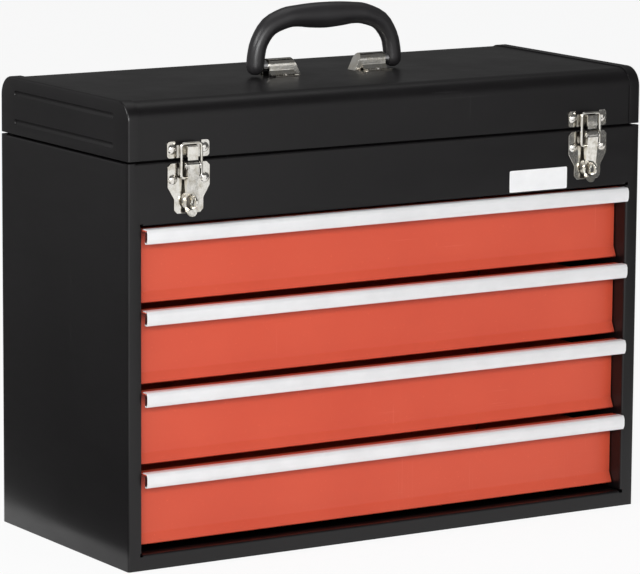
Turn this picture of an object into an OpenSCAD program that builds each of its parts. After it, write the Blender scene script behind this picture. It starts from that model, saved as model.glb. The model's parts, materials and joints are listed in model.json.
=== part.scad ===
// Portable steel tool box: a folded sheet body with four drawers on ball slides,
// a lift-up lid over a top till, two draw latches and a carrying handle.
// X runs to the right, Y to the back and Z up. The origin is the centre of the base face.

/* [Body] */
// Width of the box over its sides
box_w = 510; // [430:1:620]
// Depth of the box from front plane to back plane
box_d = 220; // [200:1:280]
// Thickness of the body and lid sheet
sheet = 1; // [0.8:0.1:1.2]
// Inside radius of a fold in the sheet
fold_r = 1; // [0.6:0.1:1.5]
// Width of the column on each side of the drawers
column_w = 13; // [11:0.5:20]
// How far the columns turn back into the box
column_return = 40; // [30:1:50]
// Height of the rail under the drawers
rail_h = 13.5; // [10:0.5:25]
// Height of the panel over the drawers
header_h = 51.6; // [48:0.2:80]
// Depth of the turned edges of the header and the rail
edge_return = 12; // [8:0.5:13]
// How far the top rim steps in from the wall
rim_step = 6; // [5:0.5:9]
// How far the rim's lip stands up inside the lid
rim_lip = 8; // [5:0.5:12]
// Length of the open notch in the rim at each corner
rim_notch = 10; // [7:0.5:15]
// Height of the turned-up edge of the bottom and of the till floor
pan_flange = 10; // [6:0.5:11]

/* [Drawers] */
// Height of a drawer front
front_h = 62.7; // [58:0.1:80]
// Gap between one drawer front and the next
front_gap = 4.6; // [4:0.1:8]
// Gap under the lowest front
bottom_gap = 4.9; // [3:0.1:8]
// Gap over the highest front
top_gap = 3.1; // [2.5:0.1:6]
// Gap at each end of a drawer front
end_gap = 0.7; // [0.5:0.1:2]
// How far a drawer front is set back behind the columns
front_setback = 16; // [12:0.5:17]
// Thickness of the drawer sheet
drawer_sheet = 0.8; // [0.6:0.1:1]
// How far a front's lip reaches forward from its face
lip_reach = 19; // [16:0.5:22]
// Height of the flared foot of a front
flare_h = 9.5; // [7:0.5:12]
// How far the foot flares forward
flare_out = 4.5; // [2:0.5:6]
// Height of a drawer's walls
tray_h = 52; // [44:1:54]
// Width of the turned-in hem on a drawer's side walls
tray_hem = 4; // [3:0.5:8]
// Travel of a drawer
drawer_travel = 140; // [120:1:150]

/* [Pull strip] */
// Height of the pull strip
strip_h = 12.4; // [10:0.2:15]
// How far the pull strip reaches over the hook of the front
strip_reach = 3.5; // [3:0.1:6]
// Crown of the pull strip's face
strip_crown = 1.5; // [0.5:0.1:2]
// Wall of the pull strip
strip_wall = 1; // [0.8:0.1:1.2]
// How much shorter the strip is than the front at each end
strip_inset = 0.8; // [0.5:0.1:3]

/* [Ball slides] */
// Width of a closed slide between the column and the drawer
slide_w = 12.7; // [12:0.1:14]
// Length of a slide's rail and of its runner
slide_len = 190; // [182:1:195]
// Radius of a ball
ball_r = 2.3; // [2.1:0.1:2.5]
// Gap between a ball and the tracks
ball_play = 0.15; // [0.15:0.01:0.25]
// Height from the middle of a slide to its ball centres
race_z = 13.6; // [12:0.1:15]
// Distance of the ball centres from the column
race_u = 5; // [4.8:0.1:5.2]
// Thickness of the slide sheet
slide_sheet = 1.2; // [1:0.1:1.3]
// Thickness of the ball cage
cage_sheet = 0.6; // [0.4:0.1:0.7]
// Length of the ball cage
cage_len = 48; // [40:1:50]
// Number of balls in each race
balls_per_race = 5; // [3:1:6]

/* [Lid] */
// Height of the lid
lid_h = 48.6; // [42:0.2:60]
// Gap at the seam between body and lid
seam_gap = 1.8; // [1.5:0.1:3]
// Radius of the lid's front and back top corners
lid_corner_r = 17; // [12:0.5:20]
// Width of the edge that an end cap turns over the lid panel
cap_edge = 11; // [8:0.5:14]
// Length of the pressed grooves in a cap
groove_len = 166; // [120:1:170]
// Radius of the groove's round section
groove_r = 3; // [2:0.1:4]
// Depth of the grooves
groove_depth = 1.2; // [0.8:0.1:1.4]
// Height of the lower groove above the cap's bottom edge
groove_low = 10.9; // [8:0.1:14]
// Height between the two grooves
groove_pitch = 24.2; // [18:0.1:26]

/* [Lid hinge] */
// Length of the hinge
hinge_len = 478; // [300:1:478]
// Radius of the hinge pin
hinge_pin_r = 1.2; // [1:0.1:1.3]
// Radius of the rolled knuckles
knuckle_r = 2.4; // [2.3:0.1:2.5]
// Running clearance round the pin
pin_play = 0.05; // [0.02:0.01:0.1]
// Height of a hinge leaf
leaf_h = 18; // [12:0.5:22]
// Number of knuckles, an odd number
knuckle_count = 25; // [9:2:25]
// Gap between neighbouring knuckles
knuckle_gap = 0.5; // [0.4:0.1:1]

/* [Latches] */
// Distance of each latch from the middle of the box
latch_x = 199; // [150:1:199]
// Thickness of the latch sheet
latch_sheet = 1.2; // [1:0.1:1.3]
// Width of the base plate and of the keeper
plate_w = 39.6; // [36:0.2:44]
// Height of the base plate
plate_h = 41.5; // [41:0.5:44]
// Width of the base plate's lower end
plate_tail_w = 27.6; // [24:0.2:30]
// Distance from the body's top edge down to the base plate
plate_drop = 1.8; // [1:0.1:3]
// Radius of the corners of the keeper's ears
keeper_corner_r = 2.6; // [1.5:0.1:3.5]
// Height of the keeper
keeper_h = 13.6; // [12:0.2:16]
// Gap from the lid's bottom edge up to the keeper
keeper_lift = 0.6; // [0.2:0.1:2]
// Distance of the rivets from the middle of the latch
rivet_x = 15.1; // [14.5:0.1:16]
// Radius of a rivet head
rivet_r = 4.2; // [3.6:0.1:4.4]
// Distance of the lever's pivot in front of the base plate's back
pivot_out = 6.5; // [6.2:0.1:7]
// Distance of the lever's pivot below the body's top edge
pivot_drop = 3.6; // [3:0.1:5]
// Distance from the lever's pivot down to the bail's pivot
bail_arm = 10; // [8:0.5:12]
// Distance of the bail's pivot behind the lever's, so the closed latch stands over centre
bail_back = 1.2; // [1:0.1:1.5]
// Radius of the bail wire
wire_r = 1.3; // [1.1:0.1:1.4]
// Distance from the middle of the latch to a leg of the bail
bail_leg_x = 9.4; // [9.2:0.1:10]
// Width of the lever
lever_w = 10.8; // [9.6:0.2:11]
// Length of the lever from its pivot to its tip
lever_len = 42; // [40:0.5:43]
// How far the lever's face leans back from its barrel down to its tab
lever_lean = 4.5; // [3.5:0.1:4.8]
// Height of the tab that turns out at the lever's lower end
tab_h = 7.4; // [6.5:0.1:8]
// How far the tab turns out
tab_out = 2.6; // [1.5:0.1:3.5]
// Radius of the lever's round head
head_r = 7.2; // [7:0.1:8]
// Distance from the lever's pivot down to the middle of its hole
hole_drop = 30; // [29.5:0.1:30.5]
// Height of the hole in the lever's head
hole_h = 13; // [13:0.1:13.4]
// Width of the hole in the lever's head
hole_w = 10; // [8:0.2:10]
// Thickness of the padlock eye
eye_sheet = 2; // [1.6:0.1:2.4]
// Radius of the padlock hole
eye_hole_r = 3.1; // [2.8:0.1:3.2]
// Outer radius of the padlock eye
eye_r = 5.2; // [5:0.1:5.3]

/* [Handle] */
// Height of the handle's axis above the lid panel
axis_h = 8.5; // [8.5:0.1:10]
// Distance from the middle of the lid to a leg of the handle
leg_x = 69.3; // [64:0.1:76]
// Height of the grip's middle above the axis
grip_rise = 40.6; // [36:0.2:50]
// Half the grip's thickness in the palm
palm_r = 11.2; // [9:0.1:12]
// Half the grip's width
grip_half_w = 9.6; // [8:0.1:10]
// Radius of the handle's pins
handle_pin_r = 4.8; // [4.4:0.1:4.9]
// Running clearance round the handle's pins
handle_play = 0.08; // [0.05:0.01:0.1]
// Thickness of the bracket sheet
bracket_sheet = 1.2; // [1:0.1:1.3]
// Outer end of a bracket from the middle of the lid
bracket_outer = 58.6; // [54:0.1:59]
// Length of a bracket's saddle
bracket_len = 24; // [18:0.5:28]
// Length of the sloping inner end of a bracket
bracket_slope = 7; // [4:0.5:9]
// Height at which a bracket's sides begin to flare out to its foot
bracket_flare_h = 4.6; // [3.5:0.1:6]
// How far a bracket's sides flare out
bracket_flare = 3.2; // [1.5:0.1:4]
// Half the depth of a bracket's foot
foot_half = 16.5; // [14:0.5:20]

/* [Hidden] */

drawer_count = 4;
// Steps in a quarter turn of a folded edge
fold_steps = 5;
// A cut runs this far past a face
past = 1;
$fn = 48;

// Planes of the body
side_x = box_w / 2;
face_y = box_d / 2;
fold_out = fold_r + sheet;
opening_x = side_x - column_w;
front_pitch = front_h + front_gap;
fronts_h = drawer_count * front_h + (drawer_count - 1) * front_gap;
opening_top = rail_h + bottom_gap + fronts_h + top_gap;
body_h = opening_top + header_h;
// The turned edges stop this far short of the corners of the opening
edge_relief = 1;
back_y = face_y - sheet;

// Planes of the drawers
front_y = -face_y + front_setback;
front_x = opening_x - end_gap;
tray_x = opening_x - slide_w;
tray_y0 = front_y + drawer_sheet;
slide_inset = 1.2;
slide_y0 = tray_y0 + slide_inset;
hook_drop = 9;
hook_y = front_y - lip_reach;

// Planes of the lid
lid_z0 = body_h + seam_gap;
lid_top = lid_z0 + lid_h;
panel_top = lid_top - sheet;
// The knuckles stand this far off the leaves' inner faces
knuckle_off = 0.2;
hinge_y = back_y + knuckle_r + knuckle_off;
hinge_z = body_h + seam_gap / 2;

// Planes of the latches, the pivot being the lever's
pivot_y = -face_y - pivot_out;
pivot_z = body_h - pivot_drop;
plate_top = body_h - plate_drop;
keeper_z0 = lid_z0 + keeper_lift;
keeper_y = -face_y + sheet;
lever_rim_r = 3;
lever_wall = 1;
ear_gap = 0.5;
ear_x = lever_w / 2 + ear_gap;
ear_r = 3.2;
lever_pin_r = 1.6;
bail_play = 0.35;
bail_z = pivot_z - bail_arm;
bail_y = pivot_y + bail_back;
// The bail's bar rests on this ledge below the keeper's top edge
ledge_drop = 3.2;
ledge_z = keeper_z0 + keeper_h - ledge_drop;
bar_z = ledge_z + wire_r + bail_play;

// Planes of the handle
handle_z = panel_top + axis_h;

// Lowest point of drawer k, where drawer 1 is the highest
function front_z(k) = opening_top - top_gap - front_h - (k - 1) * front_pitch;
// Middle of the slides of drawer k
function slide_z(k) = front_z(k) + drawer_sheet + tray_h / 2;

// Plane geometry of folded sheet
function unit(v) = v / norm(v);
function right_of(v) = [v.y, -v.x];
function turned(v, a) = [v.x * cos(a) - v.y * sin(a), v.x * sin(a) + v.y * cos(a)];
function reversed(list) = [for (k = [len(list) - 1:-1:0]) list[k]];
function mirrored(path) = [for (p = path) [-p.x, p.y]];
function picked(r, k) = is_list(r) ? r[k] : r;
function is_end(path, k) = k == 0 || k == len(path) - 1;

// Angle that a line turns by at b, to the left when positive
function turn_at(a, b, c) =
    let (u = unit(b - a), v = unit(c - b))
    atan2(u.x * v.y - u.y * v.x, u * v);

// The corner at b rounded to radius r
function corner_arc(a, b, c, r) =
    let (
        u = unit(b - a),
        turn = turn_at(a, b, c),
        start = b - r * tan(abs(turn) / 2) * u,
        centre = start + (turn > 0 ? -r : r) * right_of(u)
    )
    [for (k = [0:fold_steps]) centre + turned(start - centre, turn * k / fold_steps)];

// A line shifted by t to its right, with mitred corners
function shifted(path, t) = [
    for (k = [0:len(path) - 1])
        let (
            before = k == 0 ? path[1] - path[0] : path[k] - path[k - 1],
            after = k == len(path) - 1 ? before : path[k + 1] - path[k],
            m = right_of(unit(before)),
            n = right_of(unit(after))
        )
        path[k] + t * (m + n) / (1 + m * n)
];

function rounded(path, radii) = [
    for (k = [0:len(path) - 1])
        each (is_end(path, k) || radii[k] <= 0)
            ? [path[k]]
            : corner_arc(path[k - 1], path[k], path[k + 1], radii[k])
];

function turns_left(path, k) = !is_end(path, k) && turn_at(path[k - 1], path[k], path[k + 1]) > 0;

// Outline of a sheet of thickness t on the right of a path, with inside fold radii r
function sheet_outline(path, t, r) =
    let (
        near = [for (k = [0:len(path) - 1]) turns_left(path, k) ? picked(r, k) : picked(r, k) + t],
        far = [for (k = [0:len(path) - 1]) turns_left(path, k) ? picked(r, k) + t : picked(r, k)]
    )
    concat(rounded(path, near), reversed(rounded(shifted(path, t), far)));

// Folded sheet whose path lies in the XY plane, from z0 to z1
module sheet_along_z(path, z0, z1, t = sheet, r = fold_r) {
    translate([0, 0, z0])
        linear_extrude(z1 - z0)
            polygon(sheet_outline(path, t, r));
}

// Folded sheet whose path lies in the YZ plane, across x0 to x1
module sheet_along_x(path, x0, x1, t = sheet, r = fold_r) {
    translate([x0, 0, 0])
        rotate([90, 0, 90])
            linear_extrude(x1 - x0)
                polygon(sheet_outline(path, t, r));
}

// Folded sheet whose path lies in the XZ plane, from y0 to y1
module sheet_along_y(path, y0, y1, t = sheet, r = fold_r) {
    translate([0, y1, 0])
        rotate([90, 0, 0])
            linear_extrude(y1 - y0)
                polygon(sheet_outline(path, t, r));
}

// Box between two corners
module block(low, high) {
    translate(low)
        cube(high - low);
}

module both_sides() {
    children();
    mirror([1, 0, 0])
        children();
}

module rod(a, b, r) {
    d = b - a;
    translate(a)
        rotate([0, acos(d.z / norm(d)), atan2(d.y, d.x)])
            cylinder(h = norm(d), r = r);
}

// Round wire whose path lies in the XZ plane, with bends of the given middle radius
module bent_wire(path, r, bend) {
    last = len(path) - 1;
    function corner(k) = corner_arc(path[k - 1], path[k], path[k + 1], bend);
    for (k = [0:last - 1]) {
        a = k == 0 ? path[0] : corner(k)[fold_steps];
        b = k == last - 1 ? path[last] : corner(k + 1)[0];
        rod([a.x, 0, a.y], [b.x, 0, b.y], r);
    }
    for (k = [1:last - 1]) {
        turn = turn_at(path[k - 1], path[k], path[k + 1]);
        side = right_of(unit(path[k] - path[k - 1]));
        centre = corner(k)[0] + (turn > 0 ? -bend : bend) * side;
        first = corner(k)[turn > 0 ? 0 : fold_steps] - centre;
        translate([centre.x, 0, centre.y])
            rotate([90, 0, 0])
                rotate([0, 0, atan2(first.y, first.x)])
                    rotate_extrude(angle = abs(turn))
                        translate([bend, 0])
                            circle(r = r);
    }
}

// Open pan with folded edges: outer width w, from y0 to y1, floor at z0, walls up to z0 + h.
// Its corners are notched, so it fits into a folded corner
module folded_pan(w, y0, y1, z0, h, t, hem = 0) {
    notch = fold_r + t / 2;
    wall = [[w / 2, z0 + h], [w / 2, z0], [-w / 2, z0], [-w / 2, z0 + h]];
    hemmed = concat([[w / 2 - hem, z0 + h]], wall, [[-w / 2 + hem, z0 + h]]);
    sheet_along_y(hem > 0 ? hemmed : wall, y0 + notch, y1 - notch, t);
    ends = [[y0, z0 + h], [y0, z0], [y1, z0], [y1, z0 + h]];
    sheet_along_x(reversed(ends), -w / 2 + notch, w / 2 - notch, t);
}

// ---- Body ----

// Section of the rim: up the wall, in along the ledge and up the lip
function rim_path(wall) = [
    [-wall, body_h - fold_out],
    [-wall, body_h],
    [-wall + rim_step, body_h],
    [-wall + rim_step, body_h + rim_lip]
];

rim_front_x = side_x - rim_step;
rim_side_y0 = -face_y + rim_step;
rim_side_y1 = face_y - rim_notch;

module side_wall() {
    path = [
        [-rim_front_x, -face_y],
        [-side_x, -face_y],
        [-side_x, face_y],
        [-opening_x, face_y]
    ];
    difference() {
        sheet_along_z(path, 0, body_h);
        block(
            [-side_x - past, rim_side_y0, body_h - fold_out],
            [-side_x + fold_out, rim_side_y1, body_h + past]
        );
    }
    sheet_along_y(rim_path(side_x), rim_side_y0, rim_side_y1);
}

// Ledge that closes the rim at a front corner, inside the wall's fold
module rim_corner() {
    fold_x = -side_x + fold_out;
    fold_y = -face_y + fold_out;
    translate([0, 0, body_h - sheet])
        linear_extrude(sheet) {
            translate([fold_x, fold_y])
                circle(r = fold_r + sheet / 2);
            translate([fold_x, -face_y + sheet / 2])
                square([rim_step - fold_out + sheet, rim_step + sheet / 2]);
            translate([-side_x + sheet / 2, fold_y])
                square([rim_step + sheet / 2, rim_step - fold_out + sheet]);
        }
}

module front_plate() {
    difference() {
        block([-rim_front_x, -face_y, 0], [rim_front_x, -face_y + sheet, body_h - fold_out]);
        block(
            [-opening_x - fold_out, -face_y - past, rail_h - fold_out],
            [opening_x + fold_out, -face_y + sheet + past, opening_top + fold_out]
        );
    }
    sheet_along_x(rim_path(face_y), -rim_front_x, rim_front_x);
}

module opening_edges() {
    edge_x = opening_x - edge_relief;
    header_edge = [
        [-face_y + edge_return, opening_top],
        [-face_y, opening_top],
        [-face_y, opening_top + fold_out]
    ];
    rail_edge = [
        [-face_y, rail_h - fold_out],
        [-face_y, rail_h],
        [-face_y + edge_return, rail_h]
    ];
    column_edge = [
        [-opening_x, -face_y + column_return],
        [-opening_x, -face_y],
        [-opening_x - fold_out, -face_y]
    ];
    sheet_along_x(header_edge, -edge_x, edge_x);
    sheet_along_x(rail_edge, -edge_x, edge_x);
    both_sides()
        sheet_along_z(column_edge, rail_h + edge_relief, opening_top - edge_relief);
}

// Front and sides folded from one sheet, with the drawer opening punched in it
module outer_shell() {
    color([0.13, 0.13, 0.14]) {
        both_sides() {
            side_wall();
            rim_corner();
        }
        front_plate();
        opening_edges();
    }
}

// Laps the sides' back flanges and stands clear of their folds
module back_panel() {
    panel_x = side_x - fold_out;
    rim_x = side_x - rim_notch;
    color([0.14, 0.14, 0.15]) {
        block([-panel_x, back_y - sheet, 0], [panel_x, back_y, body_h - fold_out]);
        mirror([0, 1, 0])
            sheet_along_x(rim_path(back_y), -rim_x, rim_x);
    }
}

module body_pan(z0) {
    color([0.14, 0.14, 0.15])
        folded_pan(box_w - 2 * sheet, -face_y + sheet, back_y - sheet, z0, pan_flange, sheet);
}

module bottom_pan() {
    body_pan(0);
}

module till_floor() {
    body_pan(opening_top + sheet);
}

// Channel at the back of the body that reaches forward over the rear ends of the rails.
// It stands on the bottom's turned-up edges
rail_lap = 26;
module rear_upright() {
    y0 = slide_y0 + slide_len - rail_lap;
    y1 = back_y - sheet;
    path = [
        [-opening_x, y1],
        [-opening_x, y0],
        [-side_x + sheet, y0],
        [-side_x + sheet, y1]
    ];
    color([0.2, 0.2, 0.21])
        sheet_along_z(path, pan_flange, opening_top + sheet);
}

module rear_upright_left() {
    rear_upright();
}

module rear_upright_right() {
    mirror([1, 0, 0])
        rear_upright();
}

// ---- Ball slides ----

track_r = ball_r + ball_play;
slide_half_h = race_z + track_r + slide_sheet;
// Distance of the cage from the column, and the outer end of its tabs
cage_off = 0.4;
cage_u = slide_sheet + cage_off;
cage_tab = race_u + ball_r + 0.1;
// Where the tracks begin and end round a ball, seen from its centre
rail_track = [15, 90];
runner_track = [-130, -90];

// Part of a ring between two angles, less than half a turn apart
module ring_piece(r0, r1, a0, a1) {
    reach = 2 * r1;
    intersection() {
        difference() {
            circle(r = r1);
            circle(r = r0);
        }
        polygon([
            [0, 0],
            reach * [cos(a0), sin(a0)],
            reach * [cos((a0 + a1) / 2), sin((a0 + a1) / 2)],
            reach * [cos(a1), sin(a1)]
        ]);
    }
}

// Half section of the fixed rail: web, flange and the track that curls over the balls
module rail_half() {
    square([slide_sheet, slide_half_h]);
    translate([0, race_z + track_r])
        square([race_u, slide_sheet]);
    translate([race_u, race_z])
        ring_piece(track_r, track_r + slide_sheet, rail_track[0], rail_track[1]);
}

// Half section of the runner: web on the drawer, flange and the track under the balls
module runner_half() {
    flange_z = race_z - track_r - slide_sheet;
    translate([slide_w - slide_sheet, 0])
        square([slide_sheet, flange_z + slide_sheet]);
    translate([race_u, flange_z])
        square([slide_w - race_u, slide_sheet]);
    translate([race_u, race_z])
        ring_piece(track_r, track_r + slide_sheet, runner_track[0], runner_track[1]);
}

module both_halves() {
    children();
    mirror([0, 1])
        children();
}

// Extrudes a section, drawn as distance from the column and height, along a slide
module slide_member(k, y0, length) {
    both_sides()
        translate([-opening_x, y0 + length, slide_z(k)])
            rotate([90, 0, 0])
                linear_extrude(length)
                    both_halves()
                        children();
}

module slide_rails(k) {
    color([0.72, 0.73, 0.74])
        slide_member(k, slide_y0, slide_len)
            rail_half();
}

module slide_runners(k) {
    color([0.75, 0.76, 0.77])
        slide_member(k, slide_y0, slide_len)
            runner_half();
}

// The cage sits where it stays between rail and runner at both ends of the travel
cage_y0 = slide_y0 + (slide_len - drawer_travel - cage_len) / 2 + drawer_travel / 2;
ball_pitch = cage_len / balls_per_race;
function ball_y(n) = cage_y0 + (n + 0.5) * ball_pitch;

module ball_places(k) {
    both_sides()
        for (n = [0:balls_per_race - 1])
            for (s = [-1, 1])
                translate([-opening_x + race_u, ball_y(n), slide_z(k) + s * race_z])
                    children();
}

module cage_half() {
    translate([cage_u, 0])
        square([cage_sheet, race_z + cage_sheet / 2]);
    translate([cage_u, race_z - cage_sheet / 2])
        square([cage_tab - cage_u, cage_sheet]);
}

module ball_cages(k) {
    color([0.6, 0.55, 0.4])
        difference() {
            slide_member(k, cage_y0, cage_len)
                cage_half();
            ball_places(k)
                cylinder(h = 2 * past, r = track_r, center = true);
        }
}

module slide_balls(k) {
    color([0.85, 0.85, 0.86])
        ball_places(k)
            sphere(r = ball_r, $fn = 24);
}

// ---- Drawers ----

module drawer_tray(k) {
    color([0.7, 0.22, 0.15])
        folded_pan(
            2 * tray_x, tray_y0, tray_y0 + slide_len,
            front_z(k) + drawer_sheet, tray_h, drawer_sheet, tray_hem
        );
}

// Face with a flared foot, and a lip at the top that hooks down inside the pull strip
foot_depth = 3;
front_folds = [0, 0.5, 4, 3, 0.6, 0];
module drawer_front(k) {
    z0 = front_z(k);
    lip_z = z0 + front_h - drawer_sheet;
    path = [
        [tray_y0 + foot_depth, z0],
        [front_y - flare_out, z0],
        [front_y, z0 + flare_h],
        [front_y, lip_z],
        [hook_y, lip_z],
        [hook_y, lip_z - hook_drop]
    ];
    color([0.8, 0.27, 0.18])
        sheet_along_x(path, -front_x, front_x, drawer_sheet, front_folds);
}

// Crowned aluminium section hooked over the lip
strip_lap = 5;
strip_curl = [1.6, 2.6];
strip_bevel_low = 3.6;
strip_bevel_top = 3;
strip_folds = [0, 0.4, 0.8, 4, 4, 0.6, 0];
module pull_strip(k) {
    top = front_z(k) + front_h + strip_wall;
    low = top - strip_h;
    face = hook_y - strip_reach;
    edge = face + strip_crown;
    curl_y = hook_y + strip_curl.x;
    path = [
        [curl_y, low + strip_curl.y],
        [curl_y, low],
        [edge, low],
        [face, low + strip_bevel_low],
        [face, top - strip_bevel_top],
        [edge, top],
        [hook_y + strip_lap, top]
    ];
    x = front_x - strip_inset;
    color([0.88, 0.88, 0.88])
        sheet_along_x(path, -x, x, strip_wall, strip_folds);
}

// ---- Lid ----

module lid_panel() {
    color([0.15, 0.15, 0.16])
        panel_sweep(side_x - sheet - fold_r);
}

// Bent panel over the lid with exact round corners
module panel_sweep(half_x) {
    r_out = lid_corner_r - sheet;
    flat_y = face_y - lid_corner_r;
    corner_z = lid_top - lid_corner_r;
    block([-half_x, -flat_y, panel_top - sheet], [half_x, flat_y, panel_top]);
    for (s = [-1, 1]) {
        y0 = s > 0 ? face_y - 2 * sheet : -face_y + sheet;
        block([-half_x, y0, lid_z0], [half_x, y0 + sheet, corner_z]);
        translate([-half_x, s * flat_y, corner_z])
            rotate([90, 0, 90])
                linear_extrude(2 * half_x)
                    ring_piece(r_out - sheet, r_out, s > 0 ? 0 : 90, s > 0 ? 90 : 180);
    }
}

// Section of a cap's edge as distance outwards from the outer form and height across the edge:
// the face's rim, the fold and the flange that laps the panel
cap_section = sheet_outline([[-fold_out, cap_edge], [0, cap_edge], [0, 0]], sheet, fold_r);

// Flat face of a cap, inside the folded edge
module cap_face() {
    inner = face_y - fold_out;
    corner = lid_corner_r - fold_out;
    y_flat = face_y - lid_corner_r;
    z_flat = lid_top - lid_corner_r;
    block([side_x - sheet, -inner, lid_z0], [side_x, inner, z_flat]);
    block([side_x - sheet, -y_flat, z_flat], [side_x, y_flat, lid_top - fold_out]);
    for (s = [-1, 1])
        translate([side_x - sheet, s * y_flat, z_flat])
            rotate([0, 90, 0])
                cylinder(h = sheet, r = corner);
}

module cap_corner(s) {
    translate([side_x - cap_edge, s * (face_y - lid_corner_r), lid_top - lid_corner_r])
        rotate([0, 90, 0])
            rotate([0, 0, s > 0 ? 90 : 180])
                rotate_extrude(angle = 90)
                    polygon([for (p = cap_section) [p.x + lid_corner_r, p.y]]);
}

module cap_side(s) {
    translate([side_x - cap_edge, s * face_y, lid_z0])
        linear_extrude(lid_h - lid_corner_r)
            polygon([for (p = cap_section) [p.y, s * p.x]]);
}

module cap_top() {
    flat_y = face_y - lid_corner_r;
    translate([side_x - cap_edge, flat_y, lid_top])
        rotate([90, 0, 0])
            linear_extrude(2 * flat_y)
                polygon([for (p = cap_section) [p.y, p.x]]);
}

module groove(r) {
    x = side_x - groove_depth + groove_r;
    for (z = [groove_low, groove_low + groove_pitch]) {
        rod([x, -groove_len / 2, lid_z0 + z], [x, groove_len / 2, lid_z0 + z], r);
        for (s = [-1, 1])
            translate([x, s * groove_len / 2, lid_z0 + z])
                sphere(r = r);
    }
}

// The metal pushed in behind the grooves
module groove_backs() {
    intersection() {
        groove(groove_r + sheet);
        block(
            [side_x - 3 * sheet, -face_y + 2 * fold_out, lid_z0],
            [side_x - sheet / 2, face_y - 2 * fold_out, lid_top]
        );
    }
}

module lid_cap() {
    color([0.13, 0.13, 0.14])
        difference() {
            union() {
                cap_face();
                cap_top();
                for (s = [-1, 1]) {
                    cap_side(s);
                    cap_corner(s);
                }
                groove_backs();
            }
            groove(groove_r);
        }
}

module lid_cap_left() {
    mirror([1, 0, 0])
        lid_cap();
}

module lid_cap_right() {
    lid_cap();
}

// ---- Lid hinge ----

knuckle_pitch = hinge_len / knuckle_count;
knuckle_relief = 0.4;

// Leaf on the side that s points to, -1 down and 1 up, with every other knuckle
module hinge_leaf(s, first) {
    edge = hinge_z + s * (seam_gap / 2 - knuckle_relief);
    root = [min(hinge_z, edge + s), max(hinge_z, edge + s)];
    knuckle_len = knuckle_pitch - knuckle_gap;
    cut_half = knuckle_r + knuckle_relief;
    difference() {
        union() {
            block(
                [-hinge_len / 2, back_y, min(edge, edge + s * leaf_h)],
                [hinge_len / 2, face_y, max(edge, edge + s * leaf_h)]
            );
            for (k = [first:2:knuckle_count - 1])
                translate([-hinge_len / 2 + k * knuckle_pitch + knuckle_gap / 2, 0, 0]) {
                    rod([0, hinge_y, hinge_z], [knuckle_len, hinge_y, hinge_z], knuckle_r);
                    block([0, back_y, root[0]], [knuckle_len, face_y, root[1]]);
                }
        }
        for (k = [1 - first:2:knuckle_count - 1])
            translate([-hinge_len / 2 + k * knuckle_pitch - knuckle_gap / 2, 0, 0])
                block(
                    [0, back_y - past, hinge_z - cut_half],
                    [knuckle_pitch + knuckle_gap, hinge_y + 2 * knuckle_r, hinge_z + cut_half]
                );
        rod(
            [-hinge_len, hinge_y, hinge_z],
            [hinge_len, hinge_y, hinge_z],
            hinge_pin_r + pin_play
        );
    }
}

module hinge_leaf_body() {
    color([0.16, 0.16, 0.17])
        hinge_leaf(-1, 0);
}

module hinge_leaf_lid() {
    color([0.16, 0.16, 0.17])
        hinge_leaf(1, 1);
}

module hinge_pin() {
    end = (hinge_len - knuckle_gap) / 2;
    color([0.7, 0.7, 0.72])
        rod([-end, hinge_y, hinge_z], [end, hinge_y, hinge_z], hinge_pin_r);
}

// ---- Latches, drawn about the middle of one latch ----

module at_latch(s) {
    translate([s * latch_x, 0, 0])
        children();
}

// Domed rivet head of radius r on the plane z = 0
module rivet_head(r, dome) {
    cap_r = (r * r + dome * dome) / (2 * dome);
    intersection() {
        translate([0, 0, dome - cap_r])
            sphere(r = cap_r);
        cylinder(h = dome + past, r = r);
    }
}

// Pair of latch rivets on a plate whose face lies at y
latch_dome = 2.1;
module rivet_pair(y, z) {
    both_sides()
        translate([rivet_x, y, z])
            rotate([90, 0, 0])
                rivet_head(rivet_r, latch_dome);
}

// Plate drawn as x and z, with its back on plane y
module front_plate_at(y, t) {
    translate([0, y, 0])
        rotate([90, 0, 0])
            linear_extrude(t)
                children();
}

// Round-ended ear that carries the lever's pin, in the YZ plane
module pin_ear() {
    rotate([90, 0, 90])
        linear_extrude(latch_sheet) {
            translate([pivot_y, pivot_z])
                circle(r = ear_r);
            translate([pivot_y, pivot_z - ear_r])
                square([-face_y - pivot_y, 2 * ear_r]);
        }
}

// The base plate's straight sides, and the slope in to its lower end
plate_straight = 19.5;
plate_slope = 10;
plate_chamfer = 3;
module latch_base() {
    w = plate_w / 2;
    tail = plate_tail_w / 2;
    shoulder = plate_top - plate_straight;
    foot = plate_top - plate_h;
    outline = [
        [w - plate_chamfer, plate_top], [w, plate_top - plate_chamfer],
        [w, shoulder], [tail, shoulder - plate_slope],
        [tail, foot + plate_chamfer], [tail - plate_chamfer, foot]
    ];
    color([0.8, 0.79, 0.75])
        difference() {
            union() {
                front_plate_at(-face_y, latch_sheet)
                    polygon(concat(outline, reversed(mirrored(outline))));
                both_sides()
                    translate([ear_x, 0, 0])
                        pin_ear();
            }
            rod([-plate_w, pivot_y, pivot_z], [plate_w, pivot_y, pivot_z], lever_pin_r);
        }
}

module latch_base_left() {
    at_latch(-1)
        latch_base();
}

module latch_base_right() {
    at_latch(1)
        latch_base();
}

rivet_drop = 13.2;
module latch_rivets() {
    color([0.85, 0.84, 0.8])
        for (s = [-1, 1])
            at_latch(s)
                rivet_pair(-face_y - latch_sheet, plate_top - rivet_drop);
}

// Pin through the ears, with a head at each end
lever_pin_head = [2.4, 0.7];
module lever_pin() {
    end = ear_x + latch_sheet;
    color([0.75, 0.75, 0.73]) {
        rod([-end, pivot_y, pivot_z], [end, pivot_y, pivot_z], lever_pin_r);
        both_sides()
            rod(
                [end, pivot_y, pivot_z],
                [end + lever_pin_head[1], pivot_y, pivot_z],
                lever_pin_head[0]
            );
    }
}

module lever_pin_left() {
    at_latch(-1)
        lever_pin();
}

module lever_pin_right() {
    at_latch(1)
        lever_pin();
}

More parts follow.
